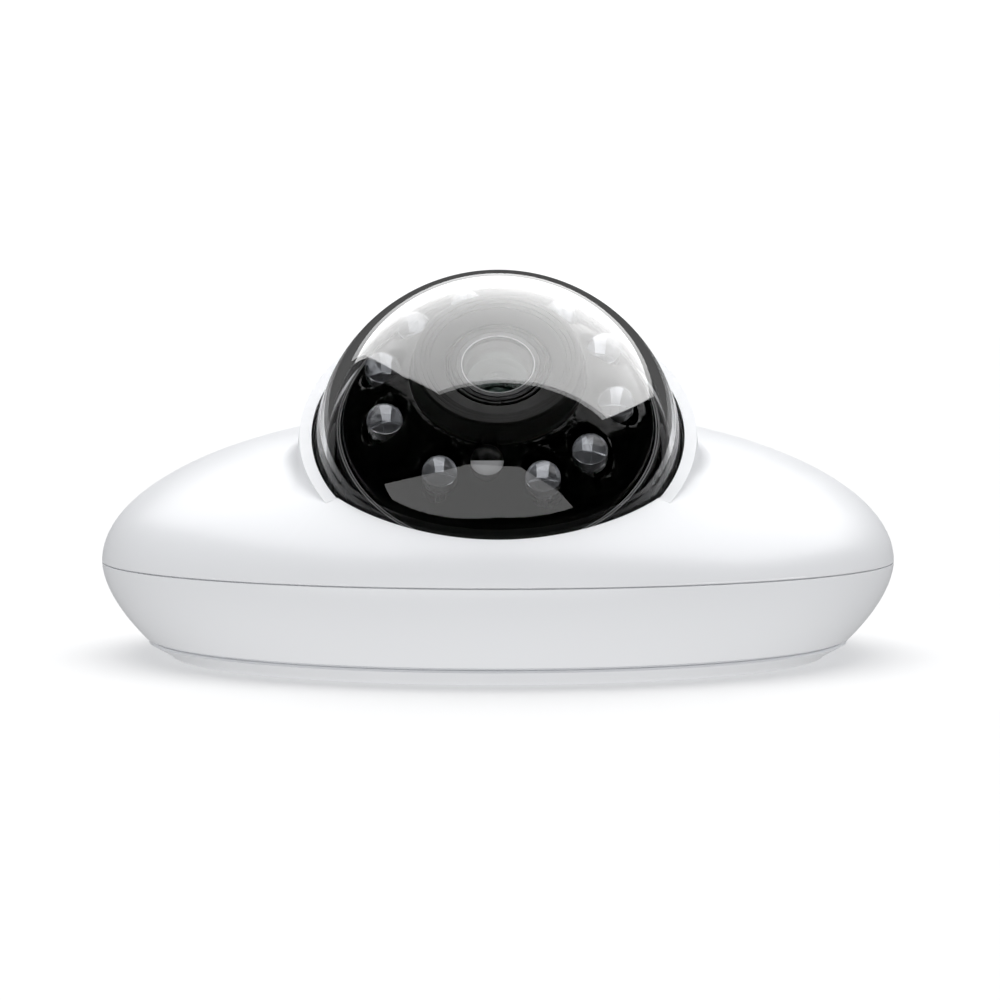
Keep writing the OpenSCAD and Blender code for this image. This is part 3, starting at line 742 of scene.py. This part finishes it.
def build_leds():
    lamps, frames, cups, collars = [], [], [], []
    for a in LED_ANGLES:
        m = LENS_M @ at(a, LED_RING_R)
        collars.append(lathe("collar", led_spacer(LED_R, LED_TIP), m, 32))
        lamps.append(lathe("lamp", led_body(LED_R, LED_TIP), m, 48, closed=False))
        # Reflector bowl on its post, and the second lead beside it
        base, cup_z = LED_TIP - LED_LEN + 0.3 * MM, LED_TIP - 5 * MM
        cup = rounded([(0, cup_z), (0.5 * MM, cup_z + 0.05 * MM, 0.1 * MM),
                       (1.3 * MM, cup_z + 0.9 * MM, 0.4 * MM),
                       (1.95 * MM, cup_z + 2.5 * MM), (2.1 * MM, cup_z + 2.5 * MM),
                       (1.5 * MM, cup_z + 0.7 * MM, 0.4 * MM), (0.6 * MM, cup_z - 0.3 * MM, 0.1 * MM),
                       (0.4 * MM, cup_z - 0.8 * MM), (0.4 * MM, base), (0, base)])
        facets = 17
        bowl = lathe("cup", cup, m @ Matrix.Rotation(float(rng.uniform(0, 6)), 4, "Z"), facets,
                     closed=False)
        for v in bowl.data.vertices:
            v.co += Vector(rng.uniform(-1, 1, 3)) * 0.05 * MM
        for face in bowl.data.polygons:
            face.use_smooth = False
        cups.append(bowl)
        turn = float(rng.uniform(0, 2 * math.pi))
        lead = m @ Matrix.Rotation(turn, 4, "Z") @ Matrix.Translation((1.55 * MM, 0, 0))
        post = rounded([(0, base), (0.28 * MM, base), (0.28 * MM, cup_z + 0.3 * MM, 0.1 * MM),
                        (0, cup_z + 0.4 * MM)])
        frames.append(lathe("post", post, lead, 12, closed=False))
        wire = (m @ Matrix.Rotation(turn, 4, "Z")
                @ Matrix.Translation((0.8 * MM, 0, cup_z + 0.35 * MM))
                @ Matrix.Rotation(math.radians(90), 4, "Y"))
        frames.append(lathe("wire", [(0, -0.8 * MM), (0.06 * MM, -0.8 * MM), (0.06 * MM, 0.8 * MM),
                                     (0, 0.8 * MM)], wire, 8, closed=False))
    for name, pieces, material, slot in (("ir_lamp_bodies", lamps, LED_GLASS, "led_lens"),
                                         ("ir_lamp_cups", cups, SILVERED, "bright_metal"),
                                         ("ir_lamp_leads", frames, BRIGHT, "bright_metal"),
                                         ("ir_lamp_collars", collars, BLACK, "black_plastic")):
        piece = join(name, pieces)
        paint(piece, material)
        if name == "ir_lamp_bodies":
            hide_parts("ir_leds")
        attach(piece, "eyeball")


def build_sensor():
    m = LENS_M @ at(SENSOR_TURN, SENSOR_AT)
    tip = LED_TIP + SENSOR_RISE
    body = lathe("light_sensor_body", led_body(SENSOR_R, tip), m, 64, closed=False)
    paint(body, RUBBER)
    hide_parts("light_sensor")
    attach(body, "eyeball")
    # The frosted half of its head, below a level edge
    radius = SENSOR_R + 0.03 * MM
    bowl = arc((0, 0), radius, 0, math.pi / 2, 16) + [(0, 0)]
    centre = (m @ Matrix.Translation((0, 0, tip - SENSOR_R))).to_translation()
    down = Matrix.Rotation(math.pi - SENSOR_WINDOW_LEAN, 4, "X")
    window = lathe("light_sensor_window", bowl, Matrix.Translation(centre) @ down, 64,
                   closed=False)
    paint(window, FROSTED)
    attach(window, "eyeball")
    collar = lathe("light_sensor_collar", led_spacer(SENSOR_R, tip), m, 32)
    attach(paint(collar, BLACK), "eyeball")


def build_shield():
    """Rubber shield: a seat, a flared wall, fine rings round its front and a dish to the lens."""
    ring, drop, groove = 0.6 * MM, 0.15 * MM, 0.07 * MM
    edge = SHIELD_R - 1.1 * MM
    outline = [(SHIELD_R, FACE_HUB_Z - 2.9 * MM), (SHIELD_R, FACE_HUB_Z + 0.3 * MM, 0.1 * MM),
               (SHIELD_R - 0.3 * MM, FACE_HUB_Z + 0.6 * MM, 0.1 * MM),
               (SHIELD_R - 0.8 * MM, SHIELD_FRONT - 0.3 * MM, 0.12 * MM),
               (edge, SHIELD_FRONT - 0.02 * MM, 0.12 * MM)]
    for i in range(3):
        r, z = edge - ring * (i + 1), SHIELD_FRONT - drop * i
        outline += [(r + groove, z, 0.05 * MM), (r + groove * 0.5, z - drop - groove, 0.03 * MM),
                    (r - groove, z - drop, 0.05 * MM)]
    outline += [(LENS_HEAD_R + 0.25 * MM, LENS_FRONT + 0.02 * MM, 0.08 * MM),
                (LENS_HEAD_R + 0.15 * MM, LENS_FRONT - 0.12 * MM, 0.05 * MM),
                (LENS_HEAD_R + 0.15 * MM, FACE_HUB_Z - 2.9 * MM)]
    shield = lathe("light_shield_rubber", rounded(outline, 4), None, 192)
    cut(shield, prism("notch", SENSOR_R + 0.15 * MM, 0, 40 * MM, at(SENSOR_TURN, SENSOR_AT), 64))
    soften(shield, 0.03 * MM, angle=50, segments=1)
    shield.data.transform(LENS_M)
    paint(shield, RUBBER)
    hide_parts("light_shield")
    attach(shield, "eyeball")


def build_lens():
    """Turned barrel with a groove in its face, the ring that holds the glass, and the glass."""
    seat = GLASS_R + 0.8 * MM
    head = rounded([(4.2 * MM, 3.6 * MM), (6 * MM, 3.6 * MM), (6 * MM, 12 * MM),
                    (LENS_HEAD_R, 12 * MM, 0.1 * MM),
                    (LENS_HEAD_R, LENS_FRONT - 0.2 * MM, 0.08 * MM),
                    (LENS_HEAD_R - 0.2 * MM, LENS_FRONT, 0.08 * MM),
                    (6.6 * MM, LENS_FRONT, 0.05 * MM), (6.5 * MM, LENS_FRONT - 0.25 * MM, 0.04 * MM),
                    (6.35 * MM, LENS_FRONT - 0.25 * MM, 0.04 * MM), (6.25 * MM, LENS_FRONT, 0.05 * MM),
                    (seat + 0.1 * MM, LENS_FRONT, 0.06 * MM), (seat, LENS_FRONT - 0.1 * MM, 0.04 * MM),
                    (seat, LENS_FRONT - 1.2 * MM), (GLASS_R, LENS_FRONT - 1.2 * MM),
                    (GLASS_R, LENS_FRONT - 2.6 * MM), (4.2 * MM, LENS_FRONT - 2.6 * MM)], 4)
    barrel = lathe("lens_barrel_turned", head, LENS_M, 160)
    soften(barrel, 0.02 * MM, angle=60, segments=1)
    paint(barrel, ANODISED)
    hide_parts("lens_barrel")
    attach(barrel, "lens")
    ring = rounded([(GLASS_R + 0.75 * MM, LENS_FRONT - 1.15 * MM),
                    (GLASS_R + 0.75 * MM, LENS_FRONT - 0.01 * MM, 0.1 * MM),
                    (GLASS_R + 0.1 * MM, LENS_FRONT - 0.01 * MM, 0.08 * MM),
                    (GLASS_R - 0.15 * MM, LENS_FRONT - 0.13 * MM, 0.04 * MM),
                    (GLASS_R - 0.15 * MM, LENS_FRONT - 0.25 * MM, 0.03 * MM),
                    (GLASS_R, LENS_FRONT - 0.33 * MM), (GLASS_R, LENS_FRONT - 1.15 * MM)], 4)
    retainer = paint(lathe("lens_retainer_ring", ring, LENS_M, 160), RETAINER)
    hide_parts("lens_retainer")
    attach(retainer, "lens")
    # A thin light grey ring at the glass's rim: painted highlight for its bright line.
    line = rounded([(GLASS_R - 0.02 * MM, LENS_FRONT - 0.3 * MM),
                    (GLASS_R + 0.1 * MM, LENS_FRONT - 0.3 * MM),
                    (GLASS_R + 0.1 * MM, LENS_FRONT + 0.02 * MM, 0.03 * MM),
                    (GLASS_R - 0.02 * MM, LENS_FRONT - 0.06 * MM, 0.03 * MM)], 3)
    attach(paint(lathe("lens_rim_highlight", line, LENS_M, 160), RING_HIGHLIGHT_GREY), "lens")
    radius = 12.2 * MM
    centre = LENS_FRONT - 11.56 * MM
    half = GLASS_R - 0.05 * MM
    rim = math.acos(half / radius)
    glass = ([(radius * math.cos(t), centre + radius * math.sin(t))
              for t in np.linspace(math.pi / 2, rim, 24)]
             + [(half, LENS_FRONT - 2.6 * MM)]
             + [(half * t, LENS_FRONT - (2.6 - 1.2 * (1 - t * t)) * MM)
                for t in np.linspace(0.92, 0, 12)])
    front = paint(lathe("front_glass", glass, LENS_M, 128, closed=False), LENS_GLASS)
    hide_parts("front_lens")
    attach(front, "lens")
    # Stop and inner elements seen through the glass
    stop = rounded([(4.15 * MM, 15 * MM), (4.15 * MM, 16.2 * MM, 0.1 * MM),
                    (3.4 * MM, 15.9 * MM, 0.1 * MM), (2.6 * MM, 15.2 * MM, 0.1 * MM),
                    (2.5 * MM, 14.9 * MM), (3.4 * MM, 14.9 * MM)], 3)
    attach(paint(lathe("lens_stop", stop, LENS_M, 96), ANODISED), "lens")
    inner = (arc((0, 9.4 * MM), 5.4 * MM, math.pi / 2, math.acos(2.4 / 5.4), 12)
             + [(2.4 * MM, 13.2 * MM), (0, 13.2 * MM)])
    element = lathe("inner_glass", inner, LENS_M, 64, closed=False)
    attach(paint(element, INNER_GLASS), "lens")


def build_tilt_ring():
    """The band round the eyeball, with light grey rings along both edges of its front as painted
    highlights.
    """
    back, front = -3 * MM, 7.9 * MM
    outline = rounded([(RING_BORE, back), (RING_R, back, 0.1 * MM), (RING_R, 7.6 * MM, 0.12 * MM),
                       (RING_R - 0.3 * MM, front, 0.12 * MM), (RING_BORE, front, 0.1 * MM)], 3)
    ring = lathe("tilt_ring_band", outline, axis_matrix(LENS_AXIS), 224)
    paint(ring, BLACK)
    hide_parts("tilt_ring")
    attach(ring, "tilt")
    # Thin light grey rings on the outer and inner edges of the front: painted highlights.
    edges = []
    half, line = 0.07 * MM, 7.85 * MM
    for radius in (RING_R - 0.3 * MM, RING_BORE + 0.12 * MM):
        edge = rounded([(radius - half, line - 0.2 * MM), (radius + half, line - 0.2 * MM),
                        (radius + half, line + 0.08 * MM, 0.03 * MM),
                        (radius - half, line + 0.08 * MM, 0.03 * MM)], 2)
        edges.append(lathe("edge", edge, axis_matrix(LENS_AXIS), 224))
    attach(paint(join("tilt_ring_painted_highlights", edges), EDGE_HIGHLIGHT_GREY), "tilt")


build_face()
build_leds()
build_sensor()
build_shield()
build_lens()
build_tilt_ring()

# ---------------------------------------------------------------- CAD pieces that keep their shape

CAD_MATERIALS = {
    "mount_plate": PLATE, "bubble_seal": RUBBER, "bubble_clamp": BLACK, "clamp_screws": STEEL,
    "shell_seal": RUBBER, "shell_screws": STEEL, "turret_base": BLACK, "turret_screws": STEEL,
    "pan_screw": STEEL, "pan_washer": SLIP, "main_board": BOARD, "board_screws": STEEL,
    "ethernet_jack": BRIGHT, "jack_contacts": GOLD, "processor": CHIP, "heat_sink": ALUMINIUM,
    "memory_chips": CHIP, "power_transformer": CHIP, "power_capacitors": SLEEVE,
    "board_connector": IVORY, "reset_switch": BRIGHT, "reset_plunger": GREY, "plunger_spring": STEEL,
    "pan_yoke": GREY, "tilt_pivots": STEEL, "eye_rear_shell": BLACK, "led_board": BOARD,
    "lens_holder": BLACK, "sensor_board": BOARD, "image_sensor": SILICON, "filter_coil": COPPER,
    "ir_filter": FILTER_GLASS, "face_screws": STEEL, "rear_lens": LENS_GLASS, "lens_lock_ring": BRIGHT,
}
for node, material in CAD_MATERIALS.items():
    obj = frame["nodes"][node]
    obj.data.materials.clear()
    obj.data.materials.append(material)

# ---------------------------------------------------------------- floor, light and camera


def glow(name, strength):
    """An emitting material that is seen but never sampled as a lamp."""
    m = bpy.data.materials.new(name)
    m.use_nodes = True
    nt = m.node_tree
    nt.nodes.clear()
    em = nt.nodes.new("ShaderNodeEmission")
    em.inputs["Strength"].default_value = strength
    out = nt.nodes.new("ShaderNodeOutputMaterial")
    nt.links.new(em.outputs["Emission"], out.inputs["Surface"])
    m.cycles.emission_sampling = "NONE"
    return m


def stage_mesh(name, verts, faces, material, **visible):
    """A floor, card or backdrop. Only the named kinds of ray see it where any are given."""
    data = bpy.data.meshes.new(name)
    data.from_pydata(verts, [], faces)
    data.materials.append(material)
    obj = bpy.data.objects.new(name, data)
    bpy.context.scene.collection.objects.link(obj)
    if visible:
        for ray in ("camera", "diffuse", "glossy", "transmission", "volume_scatter", "shadow"):
            setattr(obj, "visible_" + ray, visible.get(ray, False))
    return obj


# Brightness of the surround: seen directly, seen through the dome, and as soft light
WHITE_LEVEL = 1.12
BEHIND_GLASS = 0.12
SKY_LEVEL = 0.62
SKY_TINT = (0.985, 0.99, 1.0, 1)
# A ray that has crossed more glass surfaces than this has been inside the dome
DOME_SURFACES = 2.5
SOFT_BOX_LEVEL = 4.4
# Share of the soft box's light in what the dome encloses
INSIDE = 0.4
SOFT_BOX_Z = 0.7
SOFT_BOX = [(-0.627, -0.649), (1.95, -0.56), (1.95, 1.45), (-1.15, 1.45), (-0.95, 0.84),
            (-0.81, -0.12)]
# How the soft box fades along an axis: (axis, start, end, share at the start, share at the end)
SOFT_BOX_FADES = (("X", -0.7, 0.5, 0.78, 1.06), ("Y", -0.15, 0.95, 1.0, 0.57))
BACK_WALL_LEVEL = 0.085
BACK_WALL_R = 3.0
BACK_WALL_FOOT = -0.6
BACK_WALL_TOP = 1.35
BACK_WALL_ENDS = (38, 142)
FLOOR_HALF = 6.0
# What the floor gives back to the body's underside
UNDER_FILL = 1.0
NEAR_FLOOR_LEVEL = 2.0
NEAR_FLOOR_Z = 0.0005
SUN_ENERGY = 1.68
SUN_ANGLE = math.radians(75)
SUN_LEAN = math.radians(-8)
CAMERA_LENS = 129.6
CAMERA_SENSOR = 36
CAMERA_SHIFT = 0.002
CAMERA_AT = (0, -0.5476, 0.0527)
CAMERA_DIP = 0.054
NEAR_FLOOR = [(-0.127, -0.081), (-0.077, -0.073), (0.0, -0.090), (0.047, -0.085), (0.056, -0.114),
              (0.081, -0.387), (-0.156, -0.556)]


def maths(nt, kind, a, b):
    """A maths node over two values or sockets."""
    n = nt.nodes.new("ShaderNodeMath")
    n.operation = kind
    for k, v in enumerate((a, b)):
        if isinstance(v, (int, float)):
            n.inputs[k].default_value = v
        else:
            nt.links.new(v, n.inputs[k])
    return n.outputs[0]


def set_strength(nt, level):
    nt.links.new(level, nt.nodes["Emission"].inputs["Strength"])


def outer_glow(name, level, inside):
    """A glow for reflections off the dome's own surfaces, dimmer for what the dome encloses."""
    m = glow(name, level)
    nt = m.node_tree
    path = nt.nodes.new("ShaderNodeLightPath")
    enclosed = maths(nt, "GREATER_THAN", path.outputs["Transmission Depth"], DOME_SURFACES)
    dim = maths(nt, "MULTIPLY", enclosed, level * (1 - inside))
    set_strength(nt, maths(nt, "SUBTRACT", level, dim))
    return m


def build_world():
    """White seen straight on, greyer through the glass, dark to reflections, pale to soft light."""
    world = bpy.data.worlds.new("studio")
    bpy.context.scene.world = world
    world.use_nodes = True
    world.cycles.sampling_method = "NONE"
    nt = world.node_tree
    bg = nt.nodes["Background"]
    bg.inputs["Color"].default_value = SKY_TINT
    path = nt.nodes.new("ShaderNodeLightPath")
    soft, shiny, through = (maths(nt, "GREATER_THAN", path.outputs[kind], 0.5)
                            for kind in ("Diffuse Depth", "Glossy Depth", "Transmission Depth"))
    straight = maths(nt, "MULTIPLY", maths(nt, "SUBTRACT", 1, soft),
                     maths(nt, "SUBTRACT", 1, shiny))
    white = maths(nt, "ADD", WHITE_LEVEL,
                  maths(nt, "MULTIPLY", through, BEHIND_GLASS - WHITE_LEVEL))
    level = maths(nt, "ADD", maths(nt, "MULTIPLY", straight, white),
                  maths(nt, "MULTIPLY", soft, SKY_LEVEL))
    nt.links.new(level, bg.inputs["Strength"])


def build_back_wall():
    """A dim curved wall behind, seen only in reflections that graze the dome."""
    steps = 24
    start, end = (math.radians(a) for a in BACK_WALL_ENDS)
    verts = [(BACK_WALL_R * math.cos(a), BACK_WALL_R * math.sin(a), z)
             for a in np.linspace(start, end, steps + 1) for z in (BACK_WALL_FOOT, BACK_WALL_TOP)]
    faces = [(2 * i, 2 * i + 2, 2 * i + 3, 2 * i + 1) for i in range(steps)]
    stage_mesh("back_wall", verts, faces, outer_glow("back_wall_glow", BACK_WALL_LEVEL, 0.0),
               glossy=True, transmission=True)


def build_floor():
    """White paper that gives the body's underside an even light."""
    half = FLOOR_HALF
    paper = new_material("floor_white", (0.9, 0.9, 0.9), 0.9)
    nt = paper.node_tree
    bsdf = nt.nodes["Principled BSDF"]
    bsdf.inputs["Specular IOR Level"].default_value = 0.0
    path = nt.nodes.new("ShaderNodeLightPath")
    even = nt.nodes.new("ShaderNodeEmission")
    even.inputs["Strength"].default_value = UNDER_FILL
    mix = nt.nodes.new("ShaderNodeMixShader")
    nt.links.new(path.outputs["Is Diffuse Ray"], mix.inputs[0])
    nt.links.new(bsdf.outputs[0], mix.inputs[1])
    nt.links.new(even.outputs[0], mix.inputs[2])
    nt.links.new(mix.outputs[0], nt.nodes["Material Output"].inputs["Surface"])
    paper.cycles.emission_sampling = "NONE"
    corners = [(-half, -half, 0), (half, -half, 0), (half, half, 0), (-half, half, 0)]
    floor = stage_mesh("floor", corners, [(0, 1, 2, 3)], paper)
    floor.visible_glossy = floor.visible_transmission = False


def build_soft_box():
    """The big lamp over the body, seen only in reflections, fading along both its sides."""
    box = outer_glow("soft_box_glow", SOFT_BOX_LEVEL, INSIDE)
    nt = box.node_tree
    split = nt.nodes.new("ShaderNodeSeparateXYZ")
    nt.links.new(nt.nodes.new("ShaderNodeTexCoord").outputs["Object"], split.inputs[0])
    level = nt.nodes["Emission"].inputs["Strength"].links[0].from_socket
    for axis, *ends in SOFT_BOX_FADES:
        fall = nt.nodes.new("ShaderNodeMapRange")
        for name, value in zip(("From Min", "From Max", "To Min", "To Max"), ends):
            fall.inputs[name].default_value = value
        nt.links.new(split.outputs[axis], fall.inputs["Value"])
        level = maths(nt, "MULTIPLY", level, fall.outputs["Result"])
    set_strength(nt, level)
    stage_mesh("soft_box", [(x, y, SOFT_BOX_Z) for x, y in SOFT_BOX],
               [tuple(range(len(SOFT_BOX)))], box, glossy=True, transmission=True)


def build_stage():
    build_floor()
    build_world()
    build_soft_box()
    stage_mesh("near_floor", [(x, y, NEAR_FLOOR_Z) for x, y in NEAR_FLOOR],
               [tuple(range(len(NEAR_FLOOR)))], glow("near_floor_glow", NEAR_FLOOR_LEVEL),
               glossy=True)
    build_back_wall()
    sun = bpy.data.lights.new("overhead", "SUN")
    sun.energy = SUN_ENERGY
    sun.angle = SUN_ANGLE
    lamp = bpy.data.objects.new("overhead", sun)
    bpy.context.scene.collection.objects.link(lamp)
    lamp.rotation_euler = (SUN_LEAN, 0, 0)
    lamp.visible_glossy = False
    lamp.visible_transmission = False


def build_camera():
    cam = bpy.data.cameras.new("camera")
    cam.lens = CAMERA_LENS
    cam.sensor_width = CAMERA_SENSOR
    cam.shift_x = CAMERA_SHIFT
    obj = bpy.data.objects.new("camera", cam)
    bpy.context.scene.collection.objects.link(obj)
    obj.location = CAMERA_AT
    obj.rotation_euler = (math.pi / 2 - CAMERA_DIP, 0, 0)
    bpy.context.scene.camera = obj
    bpy.context.scene.view_settings.view_transform = "Standard"


build_stage()
build_camera()
